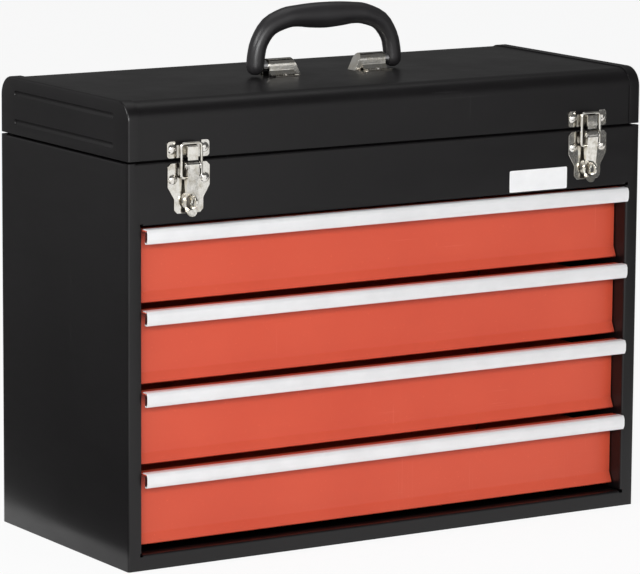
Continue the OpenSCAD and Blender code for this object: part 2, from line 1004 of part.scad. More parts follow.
// Face of the lever: it leans back in a straight line from the barrel down to the tab
lever_front = pivot_y - lever_rim_r;
face_drop = 2.6;
face_top = pivot_z - face_drop;
lever_end = pivot_z - lever_len;
face_low = lever_end + tab_h;
function lever_face_y(z) = lever_front + lever_lean * (face_top - z) / (face_top - face_low);

// The padlock's hole lies clear in front of the lever's head
hole_clear = 0.8;
eye_z = pivot_z - hole_drop;
eye_y = lever_face_y(eye_z) - hole_clear - eye_hole_r;
module padlock_eye() {
    color([0.8, 0.79, 0.75])
        translate([-eye_sheet / 2, 0, 0])
            rotate([90, 0, 90])
                linear_extrude(eye_sheet)
                    difference() {
                        union() {
                            translate([eye_y, eye_z])
                                circle(r = eye_r);
                            translate([eye_y, eye_z - eye_r])
                                square([-face_y - latch_sheet - eye_y, 2 * eye_r]);
                        }
                        translate([eye_y, eye_z])
                            circle(r = eye_hole_r);
                    }
}

module padlock_eye_left() {
    at_latch(-1)
        padlock_eye();
}

module padlock_eye_right() {
    at_latch(1)
        padlock_eye();
}

// Section of the lever's web in the YZ plane: tab, leaning face, and the barrel that rolls
// over the pin
barrel_end = 1;
barrel_fold = lever_rim_r - lever_wall;
lever_folds = [0, 3, 0.5, barrel_fold, barrel_fold, 0];
lever_web = [
    [lever_front + lever_lean - tab_out, lever_end],
    [lever_face_y(face_low), face_low],
    [lever_front, face_top],
    [lever_front, pivot_z + lever_rim_r],
    [lever_front + 2 * lever_rim_r, pivot_z + lever_rim_r],
    [lever_front + 2 * lever_rim_r, pivot_z - barrel_end]
];

// Side wall of the lever, in the YZ plane: round about the pin and about the bail's end,
// it runs out along the face as a low flange
lever_side_inset = 0.4;
lever_flange = 2;
flange_end = 22;
module lever_side() {
    side_r = lever_rim_r - lever_side_inset;
    low = pivot_z - flange_end;
    low_y = lever_face_y(low) + lever_side_inset;
    difference() {
        union() {
            for (p = [[pivot_y, pivot_z], [bail_y, bail_z]])
                translate(p)
                    circle(r = side_r);
            polygon([
                [pivot_y - side_r, pivot_z],
                [pivot_y - side_r, face_top],
                [low_y, low],
                [low_y + lever_flange, low],
                [bail_y + side_r, bail_z],
                [pivot_y + side_r, pivot_z]
            ]);
        }
        translate([pivot_y, pivot_z])
            circle(r = lever_pin_r + pin_play);
        translate([bail_y, bail_z])
            circle(r = wire_r + pin_play);
    }
}

// Outline of the web: barrel between the side walls, face, round head and round tab
module lever_outline() {
    barrel_w = lever_w - 2 * lever_wall;
    tab_r = lever_w / 2;
    translate([-barrel_w / 2, eye_z])
        square([barrel_w, pivot_z + 2 * lever_rim_r - eye_z]);
    translate([-lever_w / 2, eye_z])
        square([lever_w, face_top - eye_z]);
    translate([0, eye_z])
        circle(r = head_r);
    translate([0, lever_end + tab_r])
        circle(r = tab_r);
    translate([-tab_r, lever_end + tab_r])
        square([lever_w, eye_z - lever_end - tab_r]);
}

module lever_hole() {
    straight = hole_h - hole_w;
    for (s = [-1, 1])
        translate([0, eye_z + s * straight / 2])
            circle(d = hole_w);
    translate([-hole_w / 2, eye_z - straight / 2])
        square([hole_w, straight]);
}

module latch_lever() {
    w = lever_w / 2;
    color([0.86, 0.85, 0.81]) {
        difference() {
            intersection() {
                sheet_along_x(lever_web, -head_r - past, head_r + past, lever_wall, lever_folds);
                front_plate_at(-face_y, 2 * pivot_out)
                    lever_outline();
            }
            front_plate_at(-face_y, 2 * pivot_out)
                lever_hole();
        }
        for (x = [-w, w - lever_wall])
            translate([x, 0, 0])
                rotate([90, 0, 90])
                    linear_extrude(lever_wall)
                        lever_side();
    }
}

module latch_lever_left() {
    at_latch(-1)
        latch_lever();
}

module latch_lever_right() {
    at_latch(1)
        latch_lever();
}

bail_bend = 2.6;
stub_past = 0.6;
module latch_bail() {
    stub = lever_w / 2 - lever_wall - stub_past;
    path = [
        [stub, bail_z], [bail_leg_x, bail_z], [bail_leg_x, bar_z],
        [-bail_leg_x, bar_z], [-bail_leg_x, bail_z], [-stub, bail_z]
    ];
    color([0.85, 0.84, 0.8])
        translate([0, bail_y, 0])
            bent_wire(path, wire_r, bail_bend);
}

module latch_bail_left() {
    at_latch(-1)
        latch_bail();
}

module latch_bail_right() {
    at_latch(1)
        latch_bail();
}

// Plate on the lid, and the hook that the bail's bar pulls on.
// The plate is cut away behind the bar, so the bail can rest on the hook
hook_w = 9.6;
hook_fold = 0.3;
hook_over = 1.4;
hook_low = 1;
bail_room = 3;
module keeper_plate() {
    r = keeper_corner_r;
    w = plate_w / 2;
    z1 = keeper_z0 + keeper_h;
    translate([-w, keeper_z0 + r])
        square([plate_w, keeper_h - 2 * r]);
    translate([-w + r, keeper_z0])
        square([plate_w - 2 * r, keeper_h]);
    for (x = [-w + r, w - r])
        for (z = [keeper_z0 + r, z1 - r])
            translate([x, z])
                circle(r = r);
}

module keeper() {
    hook_face = bail_y - wire_r - hook_over;
    room_x = bail_leg_x + bail_room;
    path = [
        [hook_face, lid_z0 - hook_low],
        [hook_face, ledge_z],
        [keeper_y, ledge_z],
        [keeper_y, keeper_z0 + hook_low]
    ];
    color([0.8, 0.79, 0.75]) {
        difference() {
            front_plate_at(keeper_y, latch_sheet)
                keeper_plate();
            block(
                [-room_x, keeper_y - latch_sheet - past, ledge_z],
                [room_x, keeper_y + past, keeper_z0 + keeper_h + past]
            );
        }
        sheet_along_x(path, -hook_w / 2, hook_w / 2, latch_sheet, hook_fold);
    }
}

module keeper_left() {
    at_latch(-1)
        keeper();
}

module keeper_right() {
    at_latch(1)
        keeper();
}

keeper_rivet_z = 7.4;
module keeper_rivets() {
    color([0.85, 0.84, 0.8])
        for (s = [-1, 1])
            at_latch(s)
                rivet_pair(keeper_y - latch_sheet, keeper_z0 + keeper_rivet_z);
}

// ---- Handle ----

saddle_r = handle_pin_r + handle_play;

bracket_r = saddle_r + bracket_sheet;
bracket_in = bracket_outer - bracket_len;
bracket_drop = handle_z - panel_top;

// Section of a bracket, drawn about the pin's axis: an arch of radius r down to the panel,
// or further by below
module arch(r, below = 0) {
    circle(r = r);
    translate([-r, -bracket_drop - below])
        square([2 * r, bracket_drop + below]);
}

// Side of a bracket: straight down from the arch, out along the flare, and the flat foot
bracket_folds = [0, 1.5, 1, 0];
module bracket_side() {
    foot_z = -bracket_drop + bracket_sheet;
    path = [
        [bracket_r, 0],
        [bracket_r, -bracket_drop + bracket_flare_h],
        [bracket_r + bracket_flare, foot_z],
        [foot_half, foot_z]
    ];
    polygon(sheet_outline(path, bracket_sheet, bracket_folds));
}

module along_pin(x0, x1) {
    translate([x0, 0, handle_z])
        rotate([90, 0, 90])
            linear_extrude(x1 - x0)
                children();
}

// Room under a plane that rises from the panel at x0 to the arch's top at x0 + bracket_slope,
// continued below the panel by below
module under_slope(x0, below = 0) {
    top = handle_z + bracket_r;
    low = panel_top - below;
    lead = below * bracket_slope / (top - panel_top);
    translate([0, foot_half, 0])
        rotate([90, 0, 0])
            linear_extrude(2 * foot_half)
                polygon([
                    [x0 - lead, low],
                    [x0 + bracket_slope, top],
                    [bracket_outer, top],
                    [bracket_outer, low]
                ]);
}

// Saddle over the pin with a foot in front and behind, and a closed, sloping inner end
module handle_bracket() {
    slant = bracket_sheet * norm([bracket_slope, bracket_drop + bracket_r])
        / (bracket_drop + bracket_r);
    color([0.82, 0.8, 0.76])
        difference() {
            union() {
                along_pin(bracket_in, bracket_outer) {
                    arch(bracket_r);
                    for (m = [0, 1])
                        mirror([m, 0])
                            bracket_side();
                }
                intersection() {
                    along_pin(bracket_in - bracket_slope, bracket_in + bracket_sheet)
                        arch(bracket_r);
                    under_slope(bracket_in - bracket_slope);
                }
            }
            along_pin(bracket_in, bracket_outer + past)
                arch(saddle_r, past);
            intersection() {
                along_pin(bracket_in - bracket_slope, bracket_in + past)
                    arch(saddle_r, past);
                under_slope(bracket_in - bracket_slope + slant, past);
            }
        }
}

module handle_bracket_left() {
    mirror([1, 0, 0])
        handle_bracket();
}

module handle_bracket_right() {
    handle_bracket();
}

foot_rivet = [2.4, 1.4];
module bracket_rivets() {
    x = bracket_outer - bracket_len / 2;
    y = (foot_half + bracket_r + bracket_flare) / 2;
    color([0.85, 0.84, 0.8])
        both_sides()
            for (s = [-1, 1])
                translate([x, s * y, panel_top + bracket_sheet])
                    rivet_head(foot_rivet[0], foot_rivet[1]);
}

// Steel pins moulded into the grip, turned up inside its legs
pin_bend = 7;
pin_rise = 12;
module handle_pins() {
    inner = bracket_outer - bracket_len + bracket_sheet;
    color([0.75, 0.74, 0.72])
        both_sides()
            translate([0, 0, handle_z])
                bent_wire([[inner, 0], [leg_x, 0], [leg_x, pin_rise]], handle_pin_r, pin_bend);
}

// Middle line of the grip: x, height over the axis, half thickness and half width
grip_points = [
    [leg_x, 0, 7.7, 7.8],
    [leg_x - 0.8, 8.5, 7.8, 7.9],
    [leg_x - 4, 20.5, 7.7, 8.1],
    [leg_x - 13.6, 33.2, 8.4, 8.8],
    [40, grip_rise - 0.9, 9, grip_half_w],
    [28, grip_rise + 0.5, 9.4, grip_half_w],
    [15, grip_rise + 0.3, 10.6, grip_half_w],
    [0, grip_rise, palm_r, grip_half_w]
];
grip_line = concat(
    grip_points,
    [for (k = [len(grip_points) - 2:-1:0]) let (p = grip_points[k]) [-p.x, p[1], p[2], p[3]]]
);
grip_sides = 18;
grip_steps = 3;
grip_end_steps = 4;

function end_point(k) = grip_line[max(0, min(len(grip_line) - 1, k))];
// Smooth curve through the grip's points
function through(a, b, c, d, t) =
    0.5 * (2 * b + (c - a) * t + (2 * a - 5 * b + 4 * c - d) * t * t
        + (3 * b - a - 3 * c + d) * t * t * t);
grip_curve = concat(
    [
        for (k = [0:len(grip_line) - 2])
            for (n = [0:grip_steps - 1])
                through(
                    end_point(k - 1), end_point(k), end_point(k + 1), end_point(k + 2),
                    n / grip_steps
                )
    ],
    [grip_line[len(grip_line) - 1]]
);
function grip_heading(k) =
    let (
        a = grip_curve[max(0, k - 1)],
        b = grip_curve[min(len(grip_curve) - 1, k + 1)]
    )
    unit([b.x - a.x, b.y - a.y]);

// One ring of the grip, shifted along the curve and scaled, for its round ends
function grip_ring(k, ahead = 0, scaled = 1) =
    let (p = grip_curve[k], h = grip_heading(k), n = right_of(h))
    [
        for (j = [0:grip_sides - 1])
            let (a = 360 * j / grip_sides, side = p[2] * scaled * cos(a))
            [
                p.x + h.x * ahead + n.x * side,
                p[3] * scaled * sin(a),
                handle_z + p.y + h.y * ahead + n.y * side
            ]
    ];
grip_last = len(grip_curve) - 1;
grip_rings = concat(
    [
        for (j = [grip_end_steps - 1:-1:1])
            let (a = 90 * j / grip_end_steps)
            grip_ring(0, -grip_curve[0][2] * sin(a), cos(a))
    ],
    [for (k = [0:grip_last]) grip_ring(k)],
    [
        for (j = [1:grip_end_steps - 1])
            let (a = 90 * j / grip_end_steps)
            grip_ring(grip_last, grip_curve[grip_last][2] * sin(a), cos(a))
    ]
);

// Skin over a list of rings with equal numbers of points
module ring_skin(rings) {
    n = len(rings[0]);
    last = len(rings) - 1;
    polyhedron(
        points = [for (ring = rings) each ring],
        faces = concat(
            [[for (j = [0:n - 1]) j]],
            [
                for (k = [0:last - 1])
                    for (j = [0:n - 1])
                        let (i = (j + 1) % n)
                        [k * n + j, (k + 1) * n + j, (k + 1) * n + i, k * n + i]
            ],
            [[for (j = [n - 1:-1:0]) last * n + j]]
        )
    );
}

module handle_grip() {
    color([0.16, 0.16, 0.17])
        ring_skin(grip_rings);
}

outer_shell();
back_panel();
bottom_pan();
till_floor();
rear_upright_left();
rear_upright_right();
slide_rails(1);  // slide_rails_1
slide_rails(2);  // slide_rails_2
slide_rails(3);  // slide_rails_3
slide_rails(4);  // slide_rails_4
ball_cages(1);  // ball_cages_1
ball_cages(2);  // ball_cages_2
ball_cages(3);  // ball_cages_3
ball_cages(4);  // ball_cages_4
slide_balls(1);  // slide_balls_1
slide_balls(2);  // slide_balls_2
slide_balls(3);  // slide_balls_3
slide_balls(4);  // slide_balls_4
slide_runners(1);  // slide_runners_1
slide_runners(2);  // slide_runners_2
slide_runners(3);  // slide_runners_3
slide_runners(4);  // slide_runners_4
drawer_tray(1);  // drawer_tray_1
drawer_tray(2);  // drawer_tray_2
drawer_tray(3);  // drawer_tray_3
drawer_tray(4);  // drawer_tray_4
drawer_front(1);  // drawer_front_1
drawer_front(2);  // drawer_front_2
drawer_front(3);  // drawer_front_3
drawer_front(4);  // drawer_front_4
pull_strip(1);  // pull_strip_1
pull_strip(2);  // pull_strip_2
pull_strip(3);  // pull_strip_3
pull_strip(4);  // pull_strip_4
lid_panel();
lid_cap_left();
lid_cap_right();
hinge_leaf_body();
hinge_leaf_lid();
hinge_pin();
latch_base_left();
latch_base_right();
latch_rivets();
padlock_eye_left();
padlock_eye_right();
lever_pin_left();
lever_pin_right();
latch_lever_left();
latch_lever_right();
latch_bail_left();
latch_bail_right();
keeper_left();
keeper_right();
keeper_rivets();
handle_bracket_left();
handle_bracket_right();
bracket_rivets();
handle_pins();
handle_grip();
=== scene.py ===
import json
import math

import bmesh
import bpy
from mathutils import Matrix, Vector


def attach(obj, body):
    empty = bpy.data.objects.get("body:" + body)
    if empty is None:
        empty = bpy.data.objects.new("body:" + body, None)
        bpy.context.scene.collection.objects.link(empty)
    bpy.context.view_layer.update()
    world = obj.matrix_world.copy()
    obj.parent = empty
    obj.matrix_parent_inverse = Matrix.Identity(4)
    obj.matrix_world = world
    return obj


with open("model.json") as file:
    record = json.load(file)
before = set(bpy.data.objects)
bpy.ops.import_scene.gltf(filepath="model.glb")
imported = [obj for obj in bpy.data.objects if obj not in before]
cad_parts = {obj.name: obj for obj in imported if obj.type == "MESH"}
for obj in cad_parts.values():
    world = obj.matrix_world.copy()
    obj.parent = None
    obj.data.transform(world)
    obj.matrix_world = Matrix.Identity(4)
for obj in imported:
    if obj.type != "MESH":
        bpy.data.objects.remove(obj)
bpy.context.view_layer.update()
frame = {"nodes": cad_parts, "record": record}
NODES = frame["nodes"]
SLOTS = {part["node"]: part["material_slot"] for part in frame["record"]["subparts"]}

MM = 0.001
WHITE = (1.0, 1.0, 1.0, 1.0)
BLACK = (0.0, 0.0, 0.0, 1.0)


# ---- Sizes --------------------------------------------------------------------------------

# Rounding of the sheets' sharp edges, and the angle from which an edge counts as sharp
EDGE_ROUND = 0.25 * MM
EDGE_SEGMENTS = 2
EDGE_ANGLE = math.radians(35.0)
WELD_DISTANCE = 1e-6

# In front of this plane a drawer's lip lies inside its pull strip, and its paint there, but for faces
# that look up, gets painted shade
LIP_PLANE_Y = -111.8 * MM

# Sticker on the panel over the drawers: corners in X and Z, the panel's plane, and its own form
STICKER_LOW = (118.7 * MM, 287.6 * MM)
STICKER_HIGH = (178.5 * MM, 306.3 * MM)
PANEL_Y = -110.0 * MM
STICKER_THICK = 0.12 * MM
STICKER_CORNER = 1.2 * MM
CORNER_STEPS = 5

# Camera, with its focal length in pixels of a picture PICTURE_W pixels wide
PICTURE_W = 640
FOCAL_PX = 4162.06
SENSOR_MM = 36.0
CAMERA_PLACE = (-1.8863, -3.0083, 0.8073)
YAW, PITCH, ROLL = (math.radians(angle) for angle in (-32.05, -9.71, -0.39))
VIEW_END = 50.0

# Lamps: place, point aimed at, width and height, watts
LAMPS = {
    "key": ((-2.3, -3.7, 1.45), (0, 0, 0.2), (2.0, 0.7), 114),
    "top": ((0.2, 0.3, 2.4), (0, 0, 0.3), (1.8, 1.8), 8),
    "rim": ((-2.0, -0.3, 1.6), (0, 0, 0.4), (0.7, 0.7), 22),
}
SKY_COLOUR = (0.95, 0.97, 1.0, 1.0)
SKY_STRENGTH = 0.37

# Floor: half its side, how far it lies under the box, and how much of it is plain white to the
# camera. The rest is lit by the lamps and keeps the box's shadow.
FLOOR_REACH = 14.0
FLOOR_DROP = 0.5 * MM
FLOOR_GREY = (0.86, 0.86, 0.86, 1.0)
FLOOR_WHITE_SHARE = 0.90

# Room of cards that only reflections see
WALL_RADIUS = 5.0
WALL_STEP = 15.0
CEILING_Z = 3.3
LEFT_WALL_TOP = 2.4
CARD_Z = 0.010
SMALL_CARD_Z = 0.012
ROOM_END = 4.8


# ---- Shader building blocks ---------------------------------------------------------------

# Colour sockets of Blender's Mix node
MIX_A, MIX_B, MIX_RESULT = 6, 7, 2


def node(tree, kind, values=(), **attributes):
    """A shader node with its attributes set and its inputs given by name."""
    made = tree.nodes.new(kind)
    for name, value in attributes.items():
        setattr(made, name, value)
    for name, value in dict(values).items():
        made.inputs[name].default_value = value
    return made


def new_material(name):
    """A material with one Principled shader, its node tree and the shader."""
    mat = bpy.data.materials.new(name)
    mat.use_nodes = True
    tree = mat.node_tree
    tree.nodes.clear()
    out = node(tree, "ShaderNodeOutputMaterial")
    shader = node(tree, "ShaderNodeBsdfPrincipled")
    tree.links.new(shader.outputs["BSDF"], out.inputs["Surface"])
    return mat, tree, shader


def set_all(shader, **values):
    """Sets the shader's own sockets, named with _ for each space."""
    for name, value in values.items():
        shader.inputs[name.replace("_", " ")].default_value = value


def place(tree, scale=(1, 1, 1), rotate=(0, 0, 0)):
    """Object coordinates in metres, turned and scaled along each axis."""
    coords = node(tree, "ShaderNodeTexCoord")
    mapping = node(tree, "ShaderNodeMapping", {"Scale": scale, "Rotation": rotate})
    tree.links.new(coords.outputs["Object"], mapping.inputs["Vector"])
    return mapping.outputs["Vector"]


def noise(tree, where, scale, detail=2.0, rough=0.5):
    cloud = node(tree, "ShaderNodeTexNoise", {"Scale": scale, "Detail": detail, "Roughness": rough})
    tree.links.new(where, cloud.inputs["Vector"])
    return cloud.outputs["Fac"]


def ramp(tree, value, low, high, a=0.0, b=1.0):
    """value between low and high brought to a and b, and held outside them."""
    limits = {"From Min": low, "From Max": high, "To Min": a, "To Max": b}
    mapped = node(tree, "ShaderNodeMapRange", limits)
    tree.links.new(value, mapped.inputs["Value"])
    return mapped.outputs["Result"]


def mixed(tree, factor, a, b):
    """Colour between a and b, each of them a colour or an output, by the output factor."""
    mix = node(tree, "ShaderNodeMix", data_type="RGBA")
    tree.links.new(factor, mix.inputs[0])
    for socket, value in ((MIX_A, a), (MIX_B, b)):
        if isinstance(value, tuple):
            mix.inputs[socket].default_value = (*value, 1.0)
        else:
            tree.links.new(value, mix.inputs[socket])
    return mix.outputs[MIX_RESULT]


def math_node(tree, operation, *values):
    """One step of arithmetic on numbers or outputs."""
    made = node(tree, "ShaderNodeMath", operation=operation)
    for socket, value in zip(made.inputs, values):
        if isinstance(value, (int, float)):
            socket.default_value = value
        else:
            tree.links.new(value, socket)
    return made.outputs["Value"]


def part_of(tree, vector, axis):
    """One axis of a vector output."""
    split = node(tree, "ShaderNodeSeparateXYZ")
    tree.links.new(vector, split.inputs["Vector"])
    return split.outputs[axis]


def bump(tree, shader, heights):
    """Chains bumps of (height output, strength, depth in metres) into the shader's normal."""
    last = None
    for height, strength, depth in heights:
        made = node(tree, "ShaderNodeBump", {"Strength": strength, "Distance": depth})
        tree.links.new(height, made.inputs["Height"])
        if last:
            tree.links.new(last, made.inputs["Normal"])
        last = made.outputs["Normal"]
    tree.links.new(last, shader.inputs["Normal"])


# ---- Wear and shade masks -----------------------------------------------------------------

def edge_wear(tree, where):
    """Mask of the sheet's sharp edges, broken up as handling breaks a finish."""
    rounded = node(tree, "ShaderNodeBevel", {"Radius": 0.7 * MM}, samples=4)
    true = node(tree, "ShaderNodeNewGeometry")
    facing = node(tree, "ShaderNodeVectorMath", operation="DOT_PRODUCT")
    tree.links.new(rounded.outputs["Normal"], facing.inputs[0])
    tree.links.new(true.outputs["Normal"], facing.inputs[1])
    edge = ramp(tree, facing.outputs["Value"], 0.80, 0.97, 1.0, 0.0)
    rubbed = ramp(tree, noise(tree, where, scale=120.0, detail=4.0, rough=0.65), 0.42, 0.62)
    return math_node(tree, "MULTIPLY", edge, rubbed)


def scuffs(tree, scale, turn):
    """Mask of a few fine hairline scuffs running one way."""
    lines = noise(tree, place(tree, scale, (0, 0, turn)), scale=1.0, detail=1.0)
    patch = ramp(tree, noise(tree, place(tree), scale=14.0), 0.56, 0.66)
    return math_node(tree, "MULTIPLY", ramp(tree, lines, 0.70, 0.74), patch)


def crevice(tree, reach, closed, clear, most):
    """Mask of hollows for painted shade: most where little is open within reach mm, and 0 where enough
    is.
    """
    hollow = node(tree, "ShaderNodeAmbientOcclusion", {"Distance": reach * MM}, samples=8)
    return ramp(tree, hollow.outputs["AO"], closed, clear, most, 0.0)


def fold_shade(tree):
    """Mask of painted shade in a drawer front's hollows and on the lip's end inside the pull strip,
    but not on the faces that look up."""
    covered = math_node(tree, "LESS_THAN", part_of(tree, place(tree), "Y"), LIP_PLANE_Y)
    hollow = crevice(tree, reach=22.0, closed=0.28, clear=0.56, most=0.92)
    true = node(tree, "ShaderNodeNewGeometry")
    not_up = math_node(tree, "LESS_THAN", part_of(tree, true.outputs["Normal"], "Z"), 0.5)
    return math_node(tree, "MULTIPLY", math_node(tree, "MAXIMUM", hollow, covered), not_up)


# ---- Materials ----------------------------------------------------------------------------

def enamel(name, dark, light, rough, peel, gloss, worn, painted_shade=None):
    """Baked enamel: slight drift, orange peel, scuffs, dust specks and rubbed edges.
    The last argument is the painted shade colour of a drawer front's hollows and of the lip inside the
    pull strip."""
    mat, tree, shader = new_material(name)
    where = place(tree)

    drift = ramp(tree, noise(tree, where, scale=9.0, detail=3.0), 0.35, 0.65)
    specks = ramp(tree, noise(tree, where, scale=700.0, detail=1.0), 0.74, 0.8)
    lint = tuple(min(1.0, c * 2.2 + 0.01) for c in light)
    colour = mixed(tree, drift, dark, light)
    colour = mixed(tree, math_node(tree, "MULTIPLY", specks, 0.5), colour, lint)
    # Painted shade: the drawer front's hollows and the lip inside the pull strip are darkened to a
    # near-black red
    if painted_shade:
        colour = mixed(tree, fold_shade(tree), colour, painted_shade)

    rub = math_node(tree, "MULTIPLY", edge_wear(tree, where), 0.55)
    along = scuffs(tree, (9, 900, 900), turn=0.0)
    upright = scuffs(tree, (700, 700, 12), turn=0.5)
    scratch = math_node(tree, "MULTIPLY", math_node(tree, "ADD", along, upright), 0.35)
    wear = math_node(tree, "MINIMUM", math_node(tree, "ADD", rub, scratch), 1.0)
    tree.links.new(mixed(tree, wear, colour, worn), shader.inputs["Base Color"])

    smear = noise(tree, place(tree, (18, 18, 60)), scale=1.0, detail=4.0, rough=0.6)
    base = ramp(tree, smear, 0.3, 0.7, rough - 0.04, rough + 0.05)
    dulled = math_node(tree, "ADD", base, math_node(tree, "MULTIPLY", wear, 0.12))
    tree.links.new(dulled, shader.inputs["Roughness"])
    bump(tree, shader, [
        (noise(tree, where, scale=420.0), peel, 0.2 * MM),
        (noise(tree, where, scale=6.0, detail=1.0), 0.04, 4.0 * MM),
    ])
    set_all(shader, Specular_IOR_Level=gloss)
    return mat


def brushed(name, colour, rough, along=(3.0, 900.0, 900.0), metallic=1.0):
    """Metal with fine lines along one axis and slight blotches."""
    mat, tree, shader = new_material(name)
    lines = noise(tree, place(tree, along), scale=1.0, detail=3.0)
    blotch = ramp(tree, noise(tree, place(tree), scale=40.0, detail=3.0), 0.35, 0.7)
    shade = tuple(c * 0.94 for c in colour)
    tree.links.new(mixed(tree, blotch, colour, shade), shader.inputs["Base Color"])
    tree.links.new(ramp(tree, lines, 0.3, 0.7, rough - 0.06, rough + 0.08), shader.inputs["Roughness"])
    bump(tree, shader, [(lines, 0.12, 0.1 * MM)])
    set_all(shader, Metallic=metallic)
    return mat


def plated(name, colour, rough):
    """Bright plating over pressed steel: soft ripples, faint stains, tiny pits, and painted shade in its
    gaps.
    """
    mat, tree, shader = new_material(name)
    where = place(tree)
    stain = ramp(tree, noise(tree, where, scale=160.0, detail=4.0, rough=0.6), 0.45, 0.75)
    # Painted shade: the colour darkens to a dark brown where little is open around, in gaps and hollows
    gaps = crevice(tree, reach=5.0, closed=0.40, clear=0.86, most=0.95)
    tarnish = tuple(c * k for c, k in zip(colour, (0.8, 0.76, 0.68)))
    painted_gap_shade = (0.05, 0.037, 0.026)
    tree.links.new(mixed(tree, gaps, mixed(tree, stain, colour, tarnish), painted_gap_shade),
                   shader.inputs["Base Color"])
    dull = math_node(tree, "MAXIMUM", stain, gaps)
    tree.links.new(ramp(tree, dull, 0.0, 1.0, rough, rough + 0.12), shader.inputs["Roughness"])
    bump(tree, shader, [
        (noise(tree, where, scale=260.0), 0.18, 0.3 * MM),
        (noise(tree, where, scale=2600.0, detail=1.0), 0.05, 0.05 * MM),
    ])
    set_all(shader, Metallic=1.0)
    return mat


def moulded(name, dark, light, rough):
    """Moulded plastic: fine pebbled skin, handled patches a little smoother."""
    mat, tree, shader = new_material(name)
    where = place(tree)
    tone = ramp(tree, noise(tree, where, scale=30.0, detail=3.0), 0.35, 0.65)
    handled = noise(tree, where, scale=55.0, detail=3.0)
    tree.links.new(mixed(tree, tone, dark, light), shader.inputs["Base Color"])
    tree.links.new(ramp(tree, handled, 0.3, 0.7, rough - 0.06, rough + 0.06), shader.inputs["Roughness"])
    bump(tree, shader, [(noise(tree, where, scale=1500.0), 0.12, 0.1 * MM)])
    set_all(shader, Specular_IOR_Level=0.45)
    return mat


def paper(name, colour):
    """Coated paper: faint mottling and a slightly lifted, uneven surface."""
    mat, tree, shader = new_material(name)
    where = place(tree)
    mottle = ramp(tree, noise(tree, where, scale=90.0, detail=3.0), 0.35, 0.7)
    shade = tuple(c * 0.955 for c in colour)
    tree.links.new(mixed(tree, mottle, colour, shade), shader.inputs["Base Color"])
    tree.links.new(ramp(tree, noise(tree, where, scale=60.0), 0.3, 0.7, 0.42, 0.56),
                   shader.inputs["Roughness"])
    lift = noise(tree, place(tree, (60.0, 60.0, 160.0)), scale=1.0)
    bump(tree, shader, [(lift, 0.15, 0.3 * MM)])
    set_all(shader, Specular_IOR_Level=0.3)
    return mat


MATERIALS = {
    "body_paint": enamel(
        "body_enamel",
        dark=(0.0042, 0.0036, 0.0040),
        light=(0.0055, 0.0048, 0.0053),
        rough=0.34, peel=0.10, gloss=0.38,
        worn=(0.030, 0.029, 0.030),
    ),
    "drawer_paint": enamel(
        "drawer_enamel",
        dark=(0.68, 0.085, 0.040),
        light=(0.72, 0.097, 0.046),
        rough=0.38, peel=0.08, gloss=0.40,
        worn=(0.80, 0.17, 0.11),
        # Painted shade colour for the hollows and the lip inside the pull strip
        painted_shade=(0.045, 0.004, 0.003),
    ),
    "pull_strip": brushed("strip_metal", (0.895, 0.895, 0.90), 0.45, metallic=0.35),
    "slide_zinc": brushed("slide_zinc", (0.62, 0.64, 0.66), 0.42, along=(900.0, 3.0, 900.0)),
    "chrome": plated("latch_chrome", (0.80, 0.78, 0.73), 0.12),
    "rivets": plated("rivet_chrome", (0.84, 0.82, 0.78), 0.14),
    "pin_steel": brushed("pin_steel", (0.62, 0.62, 0.63), 0.3),
    "grip": moulded(
        "grip_plastic",
        dark=(0.0175, 0.0163, 0.0175),
        light=(0.0235, 0.0223, 0.0235),
        rough=0.36,
    ),
}


# ---- CAD nodes ----------------------------------------------------------------------------

def finish_node(obj):
    """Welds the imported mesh, rounds its sharp edges slightly and shades it smooth."""
    custom = obj.data.attributes.get("custom_normal")
    if custom:
        obj.data.attributes.remove(custom)
    for poly in obj.data.polygons:
        poly.use_smooth = True
    weld = obj.modifiers.new("weld", "WELD")
    weld.merge_threshold = WELD_DISTANCE
    bevel = obj.modifiers.new("edge", "BEVEL")
    bevel.width = EDGE_ROUND
    bevel.segments = EDGE_SEGMENTS
    bevel.limit_method = "ANGLE"
    bevel.angle_limit = EDGE_ANGLE
    bevel.harden_normals = True


for name, obj in NODES.items():
    obj.data.materials.clear()
    obj.data.materials.append(MATERIALS[SLOTS[name]])
    finish_node(obj)


# ---- Sticker ------------------------------------------------------------------------------

def add_object(name, data):
    made = bpy.data.objects.new(name, data)
    bpy.context.scene.collection.objects.link(made)
    return made


def rounded_outline(low, high, corner, steps):
    """Points round a rectangle whose corners are arcs."""
    (x0, z0), (x1, z1) = low, high
    centres = (
        (x1 - corner, z1 - corner),
        (x0 + corner, z1 - corner),
        (x0 + corner, z0 + corner),
        (x1 - corner, z0 + corner),
    )
    quarter = math.pi / 2
    outline = []
    for k, (cx, cz) in enumerate(centres):
        for step in range(steps + 1):
            angle = quarter * (k + step / steps)
            outline.append((cx + corner * math.cos(angle), cz + corner * math.sin(angle)))
    return outline


def upright_sheet(name, outline, back_y, thick):
    """Thin sheet of the outline, given in X and Z, laid on the plane back_y."""
    bm = bmesh.new()
    front = [bm.verts.new((x, back_y - thick, z)) for x, z in outline]
    back = [bm.verts.new((x, back_y, z)) for x, z in outline]
    bm.faces.new(reversed(front))
    bm.faces.new(back)
    for k in range(len(outline)):
        after = (k + 1) % len(outline)
        bm.faces.new((front[k], front[after], back[after], back[k]))
    bmesh.ops.recalc_face_normals(bm, faces=bm.faces)
    mesh = bpy.data.meshes.new(name)
    bm.to_mesh(mesh)
    bm.free()
    return add_object(name, mesh)


sticker_outline = rounded_outline(STICKER_LOW, STICKER_HIGH, STICKER_CORNER, CORNER_STEPS)
sticker = upright_sheet("sticker", sticker_outline, PANEL_Y, STICKER_THICK)
sticker.data.materials.append(paper("sticker_paper", (0.90, 0.90, 0.90)))
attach(sticker, "cabinet")


# ---- Camera and lamps ---------------------------------------------------------------------

